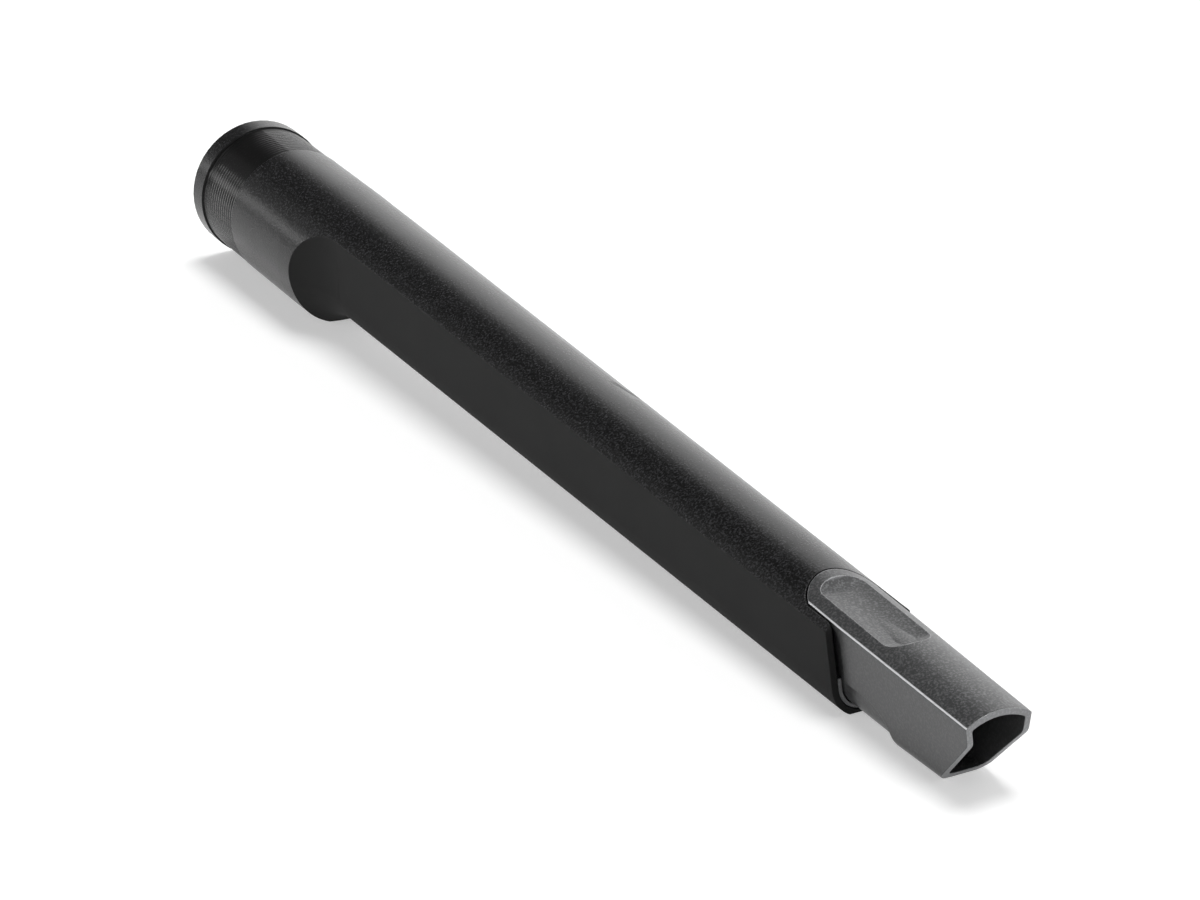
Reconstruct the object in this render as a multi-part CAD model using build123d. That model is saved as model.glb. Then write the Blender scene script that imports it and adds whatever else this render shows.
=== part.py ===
from build123d import *
import math
import os

# Pull-out crevice tool for a vacuum cleaner, in millimetres.
# The origin is the centre of the socket's open end. X runs along the tool to its tip, Z is up and
# the thumb rest is on top. A grey nozzle slides forward out of a black body on a guide bush.

# Socket that takes the wand or hose end
bore_d = 35.0
bore_depth = 55.0
bore_lead = 0.8
stop_ledge = 1.3
socket_wall = 2.0
lip_step = 0.3
lip_len = 7.0
lip_edge = 0.8
band_len = 21.0
rib_count = 15
rib_depth = 0.14
rib_sink = 0.15

# Body behind the mouth: a round top that tapers, flat flanks and a rounded belly
body_len = 344.5
taper_start = 60.0
flank_top_d = 38.3
mouth_top_d = 30.5
flank_start = 85.5
flank_width = 24.4
mouth_width = 21.7
flank_lean_deg = 2.9
belly_drop = 11.4
belly_corner = 7.7
scoop_r = 27.0
scoop_over = 0.5
scoop_flat = 1.9
scoop_sections = 6
wall_top = 1.9
wall_flank = 1.75
wall_belly = 1.5
mouth_lean_deg = 9.6
mouth_round = 3.0
notch_len = 19.9

# Guide bush, a half sleeve in the lower half of the mouth
bush_len = 44.5
bush_side = 1.15
bush_floor = 0.8
bush_recess = 0.5
bush_top = -1.75

# Nozzle, a tube with a larger head that stays in front of the mouth
travel = 200.0
nose_reach = 51.9
nose_width = 14.4
nose_lean_deg = 7.4
nose_fall = 2.15
nose_crown_r = 15.8
head_rise = 1.8
head_corner = 3.5
head_edge = 0.7
shoulder_gap = 2.2
shoulder_round = 5.0
tongue_root = 2.0
skirt_run = 10.0
ramp_r = 14.0
nose_upright = 7.1
nose_cut_deg = 41.0
nose_cut_round = 3.0
nozzle_wall = 1.5
collar_len = 5.0
collar_step = 0.4
thumb_len = 34.3
thumb_width = 12.0
thumb_back = 4.5
thumb_r = 30.0
thumb_end_r = 6.0

# Clearances
seat_gap = 0.1
slide_gap = 0.3
flank_gap = 0.5
roof_gap = 0.4
tongue_gap = 0.4
stop_gap = 0.5

# How far cutters run past what they cut, and how far joined forms lap
past = 12.0
lap = 1.0

# Shared places and sizes
bore_r = bore_d / 2
socket_r = bore_r + socket_wall
crest_r = socket_r - rib_sink
lip_r = socket_r + lip_step
far_x = body_len + past
body_taper = (flank_top_d - mouth_top_d) / 2 / (body_len - flank_start)
flank_taper = (flank_width - mouth_width) / 2 / (body_len - flank_start)
sky = lip_r + past
notch_x = body_len - notch_len
tongue_x = notch_x + tongue_gap
nose_x = body_len + nose_reach
cavity_half = mouth_width / 2 - wall_flank
cavity_drop = belly_drop - wall_belly
cavity_corner = belly_corner - wall_flank
head_half = cavity_half - flank_gap
head_drop = belly_drop - head_rise
lean = math.tan(math.radians(flank_lean_deg))
nose_lean = math.tan(math.radians(nose_lean_deg))
notch_r = cavity_half + lean * socket_r
tongue_r = head_half + lean * socket_r
roof_r = mouth_top_d / 2 - wall_top
tube_top_r = roof_r - roof_gap
tongue_low = tube_top_r - tongue_root
nose_crown = mouth_top_d / 2 - nose_fall
bush_inset = seat_gap + bush_side
bush_half = cavity_half - bush_inset
bush_drop = cavity_drop - seat_gap - bush_floor
bush_corner = cavity_corner - bush_inset
tube_half = bush_half - slide_gap
tube_drop = bush_drop - slide_gap
tube_corner = bush_corner - slide_gap
skirt_z = bush_top + slide_gap
bush_front = body_len - bush_recess
bush_rear = bush_front - bush_len
collar_front = bush_rear - stop_gap - travel
tube_rear = collar_front - collar_len
turn_x = body_len + skirt_run
ramp_x = turn_x + ramp_r
scoop_rise = socket_r - min(flank_width / 2, belly_drop) + scoop_over
scoop_run = math.sqrt(2 * scoop_r * scoop_rise - scoop_rise**2)


def top_r(x):
    """Radius of the body's round top at a place past the start of the flanks."""
    return flank_top_d / 2 - body_taper * (x - flank_start)


def mouth_x(z):
    """Place of the mouth at a height: it leans back towards the top."""
    return body_len - z * math.tan(math.radians(mouth_lean_deg))


def across(x):
    """Plane across the tool, with its own x to the tool's left and its own y up."""
    return Plane(origin=(x, 0, 0), x_dir=(0, 1, 0), z_dir=(1, 0, 0))


def flanked(half, low, top, slope=lean):
    """Section between two heights whose sides lean out upwards; half is taken at the axis."""
    foot = half + slope * low
    head = half + slope * top
    return make_face(Polyline((-foot, low), (foot, low), (head, top), (-head, top), close=True))


def u_section(half, drop, corner, top, slope=lean):
    """The same section with a rounded belly."""
    block = flanked(half, -drop, top, slope)
    return fillet(block.vertices().sort_by(Axis.Y)[:2], corner)


def arched_section(half, crown, crown_r, drop, corner, edge, slope=lean):
    """The same section closed by an arched crown with softened edges."""
    arch = Pos(0, crown - crown_r) * Circle(crown_r)
    section = u_section(half, drop, corner, crown + lap, slope) & arch
    return fillet(section.vertices().sort_by(Axis.Y)[-2:], edge)


def spun(points):
    """Solid turned round the tool's axis from points of distance along it and radius."""
    return revolve(Plane.XZ * make_face(Polyline(*points, close=True)), axis=Axis.X)


def slab(x0, x1, z0, z1):
    """Block across the whole tool between two distances along it and two heights."""
    size = (x1 - x0, 2 * sky, z1 - z0)
    return Pos((x0 + x1) / 2, 0, (z0 + z1) / 2) * Box(*size)


def side_cut(outline):
    """Solid right across the tool from an outline seen from the side."""
    return extrude(Plane.XZ * outline, amount=sky, both=True)


def flanked_form(flank_inset, belly_inset):
    """Space between the flanks and above the belly, with the scoops that open it to the socket."""
    drop = belly_drop - belly_inset
    corner = belly_corner - flank_inset
    start_half = flank_width / 2 - flank_inset
    straight = slab(flank_start, far_x, -drop, sky)
    for side in (-1, 1):
        flank = Plane(origin=(flank_start, side * start_half, 0), z_dir=(flank_taper, side, -lean))
        straight = split(straight, bisect_by=flank, keep=Keep.BOTTOM)
    straight = fillet(straight.edges().sort_by(SortBy.LENGTH)[-4:].sort_by(Axis.Z)[:2], corner)
    root_corner = start_half + scoop_rise - scoop_flat
    flare = [straight.faces().sort_by(Axis.X)[0]]
    for i in range(1, scoop_sections):
        back = scoop_run * i / (scoop_sections - 1)
        rise = scoop_r - math.sqrt(scoop_r**2 - back**2)
        flare_corner = corner + (root_corner - corner) * rise / scoop_rise
        section = u_section(start_half + rise, drop + rise, flare_corner, sky)
        flare.append(across(flank_start - back) * section)
    rear = slab(-past, flank_start - scoop_run, -sky, sky)
    return rear + loft(flare) + straight


def round_form():
    """Turned outside: lip, fine ribs, plain socket and the tapering tube."""
    pitch = band_len / rib_count
    points = [(0, 0), (0, lip_r - lip_edge), (lip_edge, lip_r), (lip_len, lip_r)]
    for i in range(rib_count):
        points.append((lip_len + i * pitch, crest_r - rib_depth))
        points.append((lip_len + (i + 0.5) * pitch, crest_r))
    band_end = lip_len + band_len
    points += [(band_end, crest_r - rib_depth), (band_end, socket_r), (taper_start, socket_r)]
    points += [(flank_start, top_r(flank_start)), (far_x, top_r(far_x)), (far_x, 0)]
    return spun(points)


def cavity():
    """Hollow of the body: the duct behind the mouth and the ledge that stops the wand."""
    ledge_r = bore_r - stop_ledge
    duct = spun([(bore_depth - lap, 0), (bore_depth - lap, ledge_r), (bore_depth, ledge_r),
                 (body_len, roof_r), (far_x, roof_r), (far_x, 0)])
    return duct & flanked_form(wall_flank, wall_belly)


def socket_bore():
    """Bore for the wand, with a lead-in at its open end."""
    lead_r = bore_r + bore_lead
    return spun([(0, 0), (0, lead_r), (bore_lead, bore_r), (bore_depth, bore_r), (bore_depth, 0)])


def mouth_trim():
    """What is cut off beyond the body's mouth, with the upper corners rounded."""
    strip_z = math.sqrt(top_r(body_len) ** 2 - cavity_half**2)
    back_x = notch_x + notch_r
    end_x = far_x + past
    outline = make_face(Polyline((mouth_x(-sky), -sky), (mouth_x(strip_z), strip_z), (back_x, strip_z),
                                 (back_x, sky), (end_x, sky), (end_x, -sky), close=True))
    corner = outline.vertices().sort_by_distance((mouth_x(strip_z), strip_z))[0]
    return side_cut(fillet(corner, mouth_round))


def round_ended(end_x, end_r):
    """Upright solid seen from above as a round end that opens towards the nose."""
    centre_x = end_x + end_r
    plan = Pos(centre_x, 0) * Circle(end_r)
    plan += Pos(centre_x + sky, 0) * Rectangle(2 * sky, 2 * end_r)
    return extrude(Plane.XY.offset(-sky) * plan, amount=2 * sky)


def notch():
    """Round-ended cut in the top of the mouth for the nozzle's tongue, as wide as the hollow."""
    upper = slab(notch_x, far_x, 0, sky)
    return flanked_form(wall_flank, wall_belly) & round_ended(notch_x, notch_r) & upper


def make_body():
    """Black body in one moulding."""
    return (round_form() & flanked_form(0, 0)) - cavity() - notch() - socket_bore() - mouth_trim()


def make_bush():
    """Half sleeve that carries the nozzle's tube, seated in the lower half of the leaning mouth."""
    seat = flanked_form(wall_flank + seat_gap, wall_belly + seat_gap)
    blank = seat & slab(bush_rear, far_x, -sky, bush_top)
    bed = across(bush_rear - lap) * u_section(bush_half, bush_drop, bush_corner, sky)
    return blank - extrude(bed, amount=far_x - bush_rear) - Pos(-bush_recess, 0, 0) * mouth_trim()


def tube_section(inset):
    """Section of the sliding tube: flat flanks, rounded belly and round top."""
    lower = u_section(tube_half - inset, tube_drop - inset, tube_corner - inset, sky)
    return lower & Circle(tube_top_r - inset)


def crown_z(x):
    """Height of the head's crown, which falls evenly from the tongue's end to the nose."""
    rear = top_r(tongue_x)
    return rear + (nose_crown - rear) * (x - tongue_x) / (nose_x - tongue_x)


def head_form():
    """Outside of the head from the tongue's end to the nose."""
    rear = arched_section(head_half, crown_z(tongue_x), nose_crown_r, head_drop, head_corner, head_edge)
    middle = arched_section(head_half, crown_z(body_len), nose_crown_r, head_drop, head_corner, head_edge)
    front = arched_section(nose_width / 2, nose_crown, nose_crown_r, head_drop, head_corner,
                           head_edge, nose_lean)
    return loft([across(tongue_x) * rear, across(body_len) * middle, across(nose_x) * front], ruled=True)


def behind_shoulder():
    """What is cut from under the tongue, behind the head's shoulder, which leans with the mouth."""
    back_x = notch_x - past
    top_x = mouth_x(tongue_low) + shoulder_gap
    outline = make_face(Polyline((mouth_x(-sky) + shoulder_gap, -sky), (top_x, tongue_low),
                                 (back_x, tongue_low), (back_x, -sky), close=True))
    corner = outline.vertices().sort_by_distance((top_x, tongue_low))[0]
    return side_cut(fillet(corner, shoulder_round))


def under_skirt():
    """What is cut from under the head's skirt, with the round ramp down to its belly."""
    start = Polyline((notch_x - past, skirt_z), (turn_x, skirt_z))
    ramp = RadiusArc((turn_x, skirt_z), (ramp_x, skirt_z - ramp_r), ramp_r)
    rest = Polyline((ramp_x, skirt_z - ramp_r), (ramp_x, -sky), (notch_x - past, -sky),
                    (notch_x - past, skirt_z))
    return side_cut(make_face([start, ramp, rest]))


def nose_cut():
    """What is cut off in front of the nose: upright above, slanting back below."""
    bend_z = nose_crown - nose_upright
    back_x = nose_x - (bend_z + sky) * math.tan(math.radians(nose_cut_deg))
    front_x = nose_x + past
    outline = make_face(Polyline((nose_x, sky), (nose_x, bend_z), (back_x, -sky), (front_x, -sky),
                                 (front_x, sky), close=True))
    bend = outline.vertices().sort_by_distance((nose_x, bend_z))[0]
    return side_cut(fillet(bend, nose_cut_round))


def thumb_rest():
    """Hollow for the thumb: a long turned form with rounded ends, laid along the crown."""
    half = thumb_width / 2
    depth = nose_crown_r - math.sqrt(nose_crown_r**2 - half**2) + thumb_r - math.sqrt(thumb_r**2 - half**2)
    end_run = math.sqrt(2 * thumb_end_r * depth - depth**2)
    rod = Cylinder(thumb_r, thumb_len + 2 * (thumb_end_r - end_run))
    rod = fillet(rod.edges().filter_by(GeomType.CIRCLE), thumb_end_r)
    centre_x = tongue_x + thumb_back + thumb_len / 2
    fall = math.degrees(math.atan(crown_z(centre_x) - crown_z(centre_x + 1)))
    return Pos(centre_x, 0, crown_z(centre_x) - depth + thumb_r) * Rot(0, 90 + fall, 0) * rod


def nozzle_duct():
    """Air way through the tube and out of the nose."""
    inside = across(tube_rear - lap) * tube_section(nozzle_wall)
    tube = extrude(inside, amount=turn_x + 2 * lap - tube_rear)
    inner_r = nose_crown_r - nozzle_wall
    rear = arched_section(tube_half - nozzle_wall, tube_top_r - nozzle_wall, inner_r,
                          tube_drop - nozzle_wall, tube_corner - nozzle_wall, head_edge)
    front = arched_section(nose_width / 2 - nozzle_wall, nose_crown - nozzle_wall, inner_r,
                           head_drop - nozzle_wall, head_corner - nozzle_wall, head_edge, nose_lean)
    throat = loft([across(turn_x) * rear, across(nose_x) * front], ruled=True)
    return tube + throat


def make_nozzle():
    """Grey nozzle: tube, stop collar, head with tongue, shoulder, ramp and slanted nose."""
    tube = extrude(across(tube_rear) * tube_section(0), amount=ramp_x - tube_rear)
    collar_shape = u_section(bush_half + collar_step, bush_drop + collar_step, bush_corner, bush_top)
    collar = extrude(across(tube_rear) * collar_shape, amount=collar_len)
    head = head_form() & round_ended(tongue_x, tongue_r)
    head = head - behind_shoulder() - under_skirt() - thumb_rest()
    return tube + collar + head - nozzle_duct() - nose_cut()


os.makedirs("parts", exist_ok=True)
export_step(make_body(), "parts/outer_body.step")
export_step(make_bush(), "parts/guide_bush.step")
export_step(make_nozzle(), "parts/nozzle.step")
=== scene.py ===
import math

import bpy
from mathutils import Matrix, Vector

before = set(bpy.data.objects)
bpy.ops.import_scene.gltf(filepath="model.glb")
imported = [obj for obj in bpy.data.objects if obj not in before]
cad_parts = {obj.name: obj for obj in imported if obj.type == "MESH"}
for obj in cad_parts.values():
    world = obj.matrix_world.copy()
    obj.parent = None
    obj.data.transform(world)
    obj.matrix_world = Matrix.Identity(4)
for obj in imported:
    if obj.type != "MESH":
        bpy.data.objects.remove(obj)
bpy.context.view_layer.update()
MM = 0.001

# Sizes of the body that its finish follows
LIP_END = 7.0 * MM
BAND_END = 28.0 * MM
BORE_R = 17.5 * MM
MID_WALL = 1.0 * MM
SOCKET_R = 19.5 * MM
TAPER_START = 60.0 * MM
MOUTH_X = 344.5 * MM
MOUTH_R = 15.25 * MM
TAPER = (SOCKET_R - MOUTH_R) / (MOUTH_X - TAPER_START)

# Half widths of the places where one finish of the body, or one slope, turns into the next
FINISH_BLUR = 0.1 * MM
TAPER_BLUR = 1.0 * MM

# What counts as the body's round outside: how far it lies off the cone, and how well it faces outwards.
# Nearer still to the cone's own normal, that normal takes over from the mesh's.
OFF_CONE = (-1.0 * MM, -0.8 * MM)
FACES_OUT = (0.88, 0.94)
FOLLOWS_CONE = (0.95, 0.975)

# Grain of both mouldings, in waves per metre, and the range of it in which a bright speck rises
GRAIN_WAVES = 1700.0
GRAIN_DETAIL = 2.0
GRAIN_DEPTH = 0.07 * MM
SPECK = (0.42, 0.72)
CLOUD_DETAIL = 3.0
NOISE_ROUGHNESS = 0.6
EDGE_SAMPLES = 4

# Black moulding
SMOOTH_BLACK = (0.015, 0.015, 0.015, 1.0)
ROUND_BLACK = (0.006, 0.006, 0.006, 1.0)
BLACK_SPECK = (0.034, 0.034, 0.036, 1.0)
SMOOTH_ROUGH = 0.85
GRAIN_ROUGH = (0.2, 0.3)
RIB_ROUGH = 0.16
BLACK_CLOUD_WAVES = 60.0
BLACK_CLOUD_ROUGH = (-0.04, 0.04)
BLACK_GRAIN = 0.75
SMOOTH_GRAIN = 0.03
BLACK_GLOSS = 0.25
BLACK_EDGE_R = 0.5 * MM

# Grey moulding: where a surface counts as its flank, as the slanted edge of its top, as the nose's rim or
# as facing forward at all, by the parts of its normal, and where its rounded upward edges get a painted
# highlight
FLANK_Y = (0.5, 0.6)
EDGE_LOW_Z = (0.15, 0.3)
EDGE_HIGH_Z = (0.82, 0.7)
EDGE_HEIGHT = (4.0 * MM, 5.0 * MM)
RIM_X = (0.6, 0.75)
FORWARD_X = (0.04, 0.2)
UPPER_EDGE_Z = (0.1, 0.4)
UPPER_EDGE_TURN = (0.93, 0.99)

# Its shades and roughness. Of two values, the first is for the top and the second for the flanks
GREY_LOW = (0.06, 0.062)
GREY_HIGH = (0.145, 0.09)
GREY_GRAIN = (0.65, 0.4)
GREY_CLOUD_WAVES = 45.0
GREY_CLOUD_SHADE = (-0.006, 0.006)
GREY_CLOUD_ROUGH = (-0.03, 0.03)
# Painted highlights: shade added on the crown's slanted edges, on the forward-facing rims and on rounded upward
# edges
CROWN_EDGE_HIGHLIGHT = 0.55
RIM_HIGHLIGHT = 0.2
UPPER_EDGE_HIGHLIGHT = 0.32
GREY_GREEN = 1.01
GREY_BLUE = 1.03
GREY_ROUGH = (0.26, 0.38)
FORWARD_ROUGHER = 0.3
GREY_METAL = 0.4
GREY_GLOSS = 0.5
GREY_EDGE_R = 0.4 * MM

# What the tool lies on: the socket's lip and the belly of the nozzle's head
LIP_REST = Vector((3.0 * MM, 0, -19.8 * MM))
HEAD_REST = Vector((382.8 * MM, 0, -9.6 * MM))

# The floor's half side in metres, its own shade and the glow that makes it white
FLOOR_HALF = 6.0
FLOOR_SHADE = 0.7
FLOOR_GLOW = 0.4
FLOOR_ROUGH = 0.8
FLOOR_GLOSS = 0.1

# The overhead light
SUN_POWER = 2.1
SUN_ANGLE = math.radians(26)
SUN_FROM = Vector((-0.2, 0.27, 2.0))

# Shades of the room and of its walls on the camera's side and behind the tool, the directions in which the
# walls end, sideways and upwards, and the one in which the near wall turns into the far one
DIM = 0.06
NEAR_WALL = 0.45
FAR_WALL = 1.45
WALL_END = (0.17, 0.45)
WALL_TOP = (math.sin(math.radians(40)), math.sin(math.radians(52)))
WALL_TURN = (-0.05, 0.05)

# Long strip light low on the camera's side: its strength, the rise between its sides, and their fade
STRIP = 3.0
STRIP_LOW = math.radians(15)
STRIP_TOP = math.radians(16)
STRIP_SOFT = math.radians(8)

# Camera: its direction from the tool, how far it stands back, right and down from the socket, and its lens
AZIMUTH = math.radians(61.403)
ELEVATION = math.radians(25.121)
CAMERA_BACK = 1.189458
CAMERA_RIGHT = 0.10294
CAMERA_DOWN = 0.079389
LENS = 120.0
SENSOR = 36.0
CLIP_START = 0.05


class Nodes:
    """A material's or the world's node tree, with short ways to add nodes to it."""

    def __init__(self, owner):
        owner.use_nodes = True
        self.tree = owner.node_tree
        self.tree.nodes.clear()

    def add(self, kind, inputs=None, **settings):
        """A new node, with a value or another node's output for each input, by its name or number."""
        node = self.tree.nodes.new(kind)
        for name, value in settings.items():
            setattr(node, name, value)
        for key, value in (inputs or {}).items():
            if isinstance(value, bpy.types.NodeSocket):
                self.tree.links.new(value, node.inputs[key])
            else:
                node.inputs[key].default_value = value
        return node

    def math(self, operation, *values):
        """One operation on two values, or one after the other on more."""
        total = values[0]
        for value in values[1:]:
            total = self.add("ShaderNodeMath", {0: total, 1: value}, operation=operation).outputs[0]
        return total

    def plus(self, *values):
        return self.math("ADD", *values)

    def times(self, *values):
        return self.math("MULTIPLY", *values)

    def inverse(self, value):
        return self.math("SUBTRACT", 1.0, value)

    def size(self, value):
        return self.add("ShaderNodeMath", {0: value}, operation="ABSOLUTE").outputs[0]

    def step(self, value, low, high):
        """0 below low, 1 above high and smooth between them."""
        node = self.add("ShaderNodeMapRange", {"Value": value, "From Min": low, "From Max": high},
                        interpolation_type="SMOOTHSTEP")
        return node.outputs["Result"]

    def past(self, value, border, blur):
        """0 before a border and 1 past it."""
        return self.step(value, border - blur, border + blur)

    def spread(self, value, low, high):
        """A 0 to 1 value spread between two others."""
        node = self.add("ShaderNodeMapRange", {"Value": value, "To Min": low, "To Max": high})
        return node.outputs["Result"]

    def mix(self, share, a, b):
        return self.add("ShaderNodeMix", {"Factor": share, 2: a, 3: b}, data_type="FLOAT").outputs[0]

    def mix_vector(self, share, a, b):
        return self.add("ShaderNodeMix", {"Factor": share, 4: a, 5: b}, data_type="VECTOR").outputs[1]

    def mix_colour(self, share, a, b):
        return self.add("ShaderNodeMix", {"Factor": share, 6: a, 7: b}, data_type="RGBA").outputs[2]

    def split(self, vector):
        return self.add("ShaderNodeSeparateXYZ", {0: vector}).outputs

    def join(self, x, y, z):
        return self.add("ShaderNodeCombineXYZ", {"X": x, "Y": y, "Z": z}).outputs[0]

    def dot(self, a, b):
        return self.add("ShaderNodeVectorMath", {0: a, 1: b}, operation="DOT_PRODUCT").outputs["Value"]

    def noise(self, place, waves, detail):
        return self.add("ShaderNodeTexNoise", {"Vector": place, "Scale": waves, "Detail": detail,
                                               "Roughness": NOISE_ROUGHNESS}).outputs["Fac"]

    def grain(self, place):
        return self.noise(place, GRAIN_WAVES, GRAIN_DETAIL)

    def round_edges(self, radius):
        """The surface's normal with its sharp edges rounded."""
        return self.add("ShaderNodeBevel", {"Radius": radius}, samples=EDGE_SAMPLES).outputs["Normal"]

    def bump(self, height, strength, normal):
        return self.add("ShaderNodeBump", {"Height": height, "Strength": strength, "Distance": GRAIN_DEPTH,
                                           "Normal": normal}).outputs["Normal"]

    def surface(self, inputs):
        shader = self.add("ShaderNodeBsdfPrincipled", inputs)
        self.add("ShaderNodeOutputMaterial", {"Surface": shader.outputs[0]})


def grey(value):
    return (value, value, value, 1.0)


def round_outside(n, coords, xyz, radius):
    """Where the body's surface lies on its cylinder and cone, and their own normal there."""
    cone = n.add("ShaderNodeMapRange", {"Value": xyz["X"], "From Min": TAPER_START, "From Max": MOUTH_X,
                                        "To Min": SOCKET_R, "To Max": MOUTH_R}).outputs["Result"]
    ahead = n.times(n.past(xyz["X"], TAPER_START, TAPER_BLUR), TAPER, radius)
    outward = n.add("ShaderNodeVectorMath", {0: n.join(ahead, xyz["Y"], xyz["Z"])}, operation="NORMALIZE")
    outward = outward.outputs["Vector"]
    near_cone = n.step(n.math("SUBTRACT", radius, cone), *OFF_CONE)
    on_round = n.times(near_cone, n.step(n.dot(coords["Normal"], outward), *FACES_OUT))
    return on_round, outward


def black_plastic():
    """Black moulding: spark grain on its round outside, smooth flanks and scoops, a polished band of ribs
    and a satin lip."""
    material = bpy.data.materials.new("black_plastic")
    n = Nodes(material)
    coords = n.add("ShaderNodeTexCoord").outputs
    place = coords["Object"]
    xyz = n.split(place)
    across = n.join(0.0, xyz["Y"], xyz["Z"])
    radius = n.add("ShaderNodeVectorMath", {0: across}, operation="LENGTH").outputs["Value"]
    on_round, outward = round_outside(n, coords, xyz, radius)
    ribbed = n.times(n.past(xyz["X"], LIP_END, FINISH_BLUR), n.inverse(n.past(xyz["X"], BAND_END, FINISH_BLUR)))
    polished = n.times(ribbed, n.past(radius, BORE_R + MID_WALL, FINISH_BLUR))
    grained = n.times(on_round, n.inverse(ribbed))
    fine = n.grain(place)
    cloud = n.noise(place, BLACK_CLOUD_WAVES, CLOUD_DETAIL)
    rough = n.mix(grained, SMOOTH_ROUGH, n.spread(fine, *GRAIN_ROUGH))
    rough = n.plus(n.mix(polished, rough, RIB_ROUGH), n.spread(cloud, *BLACK_CLOUD_ROUGH))
    soft = n.round_edges(BLACK_EDGE_R)
    true = n.add("ShaderNodeVectorTransform", {0: outward}, vector_type="NORMAL", convert_from="OBJECT",
                 convert_to="WORLD").outputs[0]
    turned = n.mix_vector(n.times(grained, n.step(n.dot(soft, true), *FOLLOWS_CONE)), soft, true)
    normal = n.bump(fine, n.plus(n.times(grained, BLACK_GRAIN), SMOOTH_GRAIN), turned)
    specks = n.times(grained, n.step(fine, *SPECK))
    colour = n.mix_colour(specks, n.mix_colour(on_round, SMOOTH_BLACK, ROUND_BLACK), BLACK_SPECK)
    n.surface({"Base Color": colour, "Roughness": rough, "Normal": normal, "Specular IOR Level": BLACK_GLOSS})
    return material


def grey_plastic():
    """Grey moulding: a fine sparkling grain, calmer on the flanks, with painted highlights on its edges and
    rims.
    """
    material = bpy.data.materials.new("grey_plastic")
    n = Nodes(material)
    coords = n.add("ShaderNodeTexCoord").outputs
    place = coords["Object"]
    facing = n.split(coords["Normal"])
    flank = n.step(n.size(facing["Y"]), *FLANK_Y)
    # Painted highlight on the slanted edges of the crown, high on the head
    edge = n.times(flank, n.step(facing["Z"], *EDGE_LOW_Z), n.step(facing["Z"], *EDGE_HIGH_Z),
                   n.step(n.split(place)["Z"], *EDGE_HEIGHT))
    # Painted highlight on the forward-facing rims of the nose and the bush
    rim = n.step(facing["X"], *RIM_X)
    forward = n.step(facing["X"], *FORWARD_X)
    fine = n.grain(place)
    cloud = n.noise(place, GREY_CLOUD_WAVES, CLOUD_DETAIL)
    soft = n.round_edges(GREY_EDGE_R)
    normal = n.bump(fine, n.mix(flank, *GREY_GRAIN), soft)
    # Painted highlight on rounded upward edges, where the rounded normal turns away from the mesh's own
    turn = n.dot(soft, n.add("ShaderNodeNewGeometry").outputs["Normal"])
    upper_edge_highlight = n.times(n.inverse(n.step(turn, *UPPER_EDGE_TURN)), n.step(facing["Z"], *UPPER_EDGE_Z))
    speck = n.spread(n.step(fine, *SPECK), n.mix(flank, *GREY_LOW), n.mix(flank, *GREY_HIGH))
    # The shade carries painted highlights on the crown's edges, the rims and the rounded upward edges
    shade = n.plus(speck, n.spread(cloud, *GREY_CLOUD_SHADE), n.times(edge, CROWN_EDGE_HIGHLIGHT),
                   n.times(rim, RIM_HIGHLIGHT), n.times(upper_edge_highlight, UPPER_EDGE_HIGHLIGHT))
    colour = n.add("ShaderNodeCombineColor", {"Red": shade, "Green": n.times(shade, GREY_GREEN),
                                              "Blue": n.times(shade, GREY_BLUE)}).outputs[0]
    rough = n.plus(n.spread(fine, *GREY_ROUGH), n.spread(cloud, *GREY_CLOUD_ROUGH),
                   n.times(forward, FORWARD_ROUGHER))
    n.surface({"Base Color": colour, "Metallic": GREY_METAL, "Roughness": rough, "Normal": normal,
               "Specular IOR Level": GREY_GLOSS})
    return material


def paint(node, material):
    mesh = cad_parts[node].data
    mesh.materials.clear()
    mesh.materials.append(material)


def floor_white():
    """Pale floor that the camera, mirrors and glass see as white, and that keeps the shadow."""
    material = bpy.data.materials.new("floor_white")
    n = Nodes(material)
    path = n.add("ShaderNodeLightPath").outputs
    seen = n.math("MAXIMUM", path["Is Camera Ray"], path["Is Glossy Ray"], path["Is Transmission Ray"])
    n.surface({"Base Color": grey(FLOOR_SHADE), "Roughness": FLOOR_ROUGH, "Specular IOR Level": FLOOR_GLOSS,
               "Emission Color": grey(1.0), "Emission Strength": n.times(seen, FLOOR_GLOW)})
    return material


def lay_floor():
    """Pale floor under the lip and the head, so it leans a little against the tool's own axis."""
    lean = math.atan2(HEAD_REST.z - LIP_REST.z, HEAD_REST.x - LIP_REST.x)
    corners = [(x * FLOOR_HALF, y * FLOOR_HALF, 0) for x, y in ((-1, -1), (1, -1), (1, 1), (-1, 1))]
    mesh = bpy.data.meshes.new("floor")
    mesh.from_pydata(corners, [], [(0, 1, 2, 3)])
    mesh.materials.append(floor_white())
    floor = bpy.data.objects.new("floor", mesh)
    floor.matrix_world = Matrix.Translation(LIP_REST) @ Matrix.Rotation(-lean, 4, "Y")
    bpy.context.collection.objects.link(floor)


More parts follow.
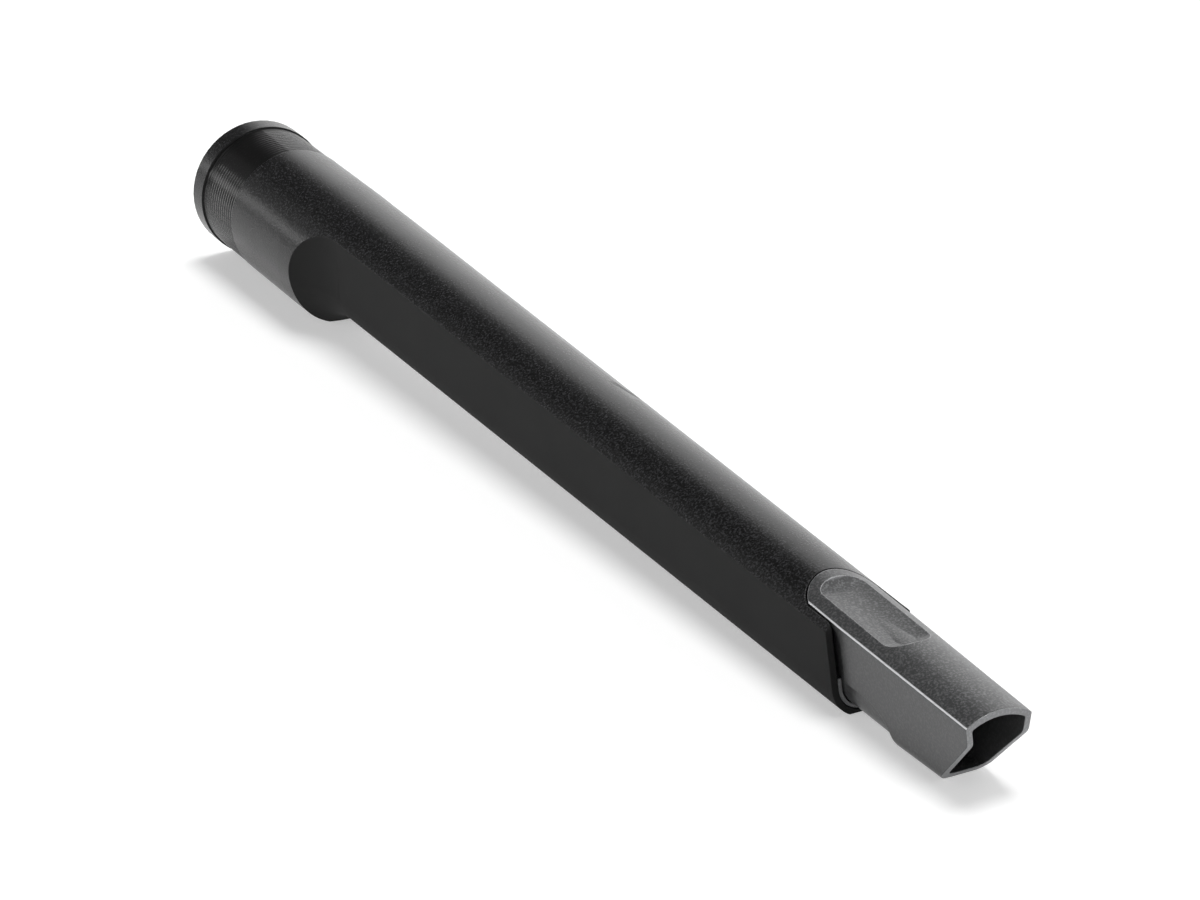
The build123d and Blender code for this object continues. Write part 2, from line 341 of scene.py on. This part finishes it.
def hang_sun():
    """Broad light from overhead."""
    sun = bpy.data.lights.new("overhead", "SUN")
    sun.energy = SUN_POWER
    sun.angle = SUN_ANGLE
    lamp = bpy.data.objects.new("overhead", sun)
    lamp.location = SUN_FROM
    lamp.rotation_euler = (-SUN_FROM).to_track_quat("-Z", "Y").to_euler()
    bpy.context.collection.objects.link(lamp)


def build_room():
    """A dim room with a white wall behind the tool, and a dimmer one and a strip light on the camera's side."""
    world = bpy.data.worlds.new("studio")
    bpy.context.scene.world = world
    n = Nodes(world)
    towards = n.split(n.add("ShaderNodeTexCoord").outputs["Generated"])
    wall = n.times(n.step(n.size(towards["Y"]), *WALL_END), n.inverse(n.step(towards["Z"], *WALL_TOP)))
    shade = n.mix(wall, DIM, n.mix(n.step(towards["Y"], *WALL_TURN), NEAR_WALL, FAR_WALL))
    rise = n.math("ARCTAN2", towards["Z"], n.times(towards["Y"], -1.0))
    above = n.step(rise, STRIP_LOW - STRIP_SOFT, STRIP_LOW)
    below = n.inverse(n.step(rise, STRIP_TOP, STRIP_TOP + STRIP_SOFT))
    light = n.plus(shade, n.times(above, below, STRIP))
    room = n.add("ShaderNodeBackground", {"Color": light}).outputs[0]
    n.add("ShaderNodeOutputWorld", {"Surface": room})


def set_camera():
    """Camera at the photograph's angle, with the socket up and left of the picture's middle."""
    back = Vector((math.sin(AZIMUTH) * math.cos(ELEVATION), -math.cos(AZIMUTH) * math.cos(ELEVATION),
                   math.sin(ELEVATION)))
    right = Vector((math.cos(AZIMUTH), math.sin(AZIMUTH), 0))
    up = back.cross(right)
    data = bpy.data.cameras.new("camera")
    data.sensor_width = SENSOR
    data.lens = LENS
    data.clip_start = CLIP_START
    camera = bpy.data.objects.new("camera", data)
    place = back * CAMERA_BACK + right * CAMERA_RIGHT - up * CAMERA_DOWN
    turn = Matrix((right, up, back)).transposed().to_4x4()
    camera.matrix_world = Matrix.Translation(place) @ turn
    bpy.context.collection.objects.link(camera)
    bpy.context.scene.camera = camera


paint("outer_body", black_plastic())
grey_finish = grey_plastic()
paint("nozzle", grey_finish)
paint("guide_bush", grey_finish)
lay_floor()
hang_sun()
build_room()
set_camera()
bpy.context.scene.view_settings.view_transform = "Standard"
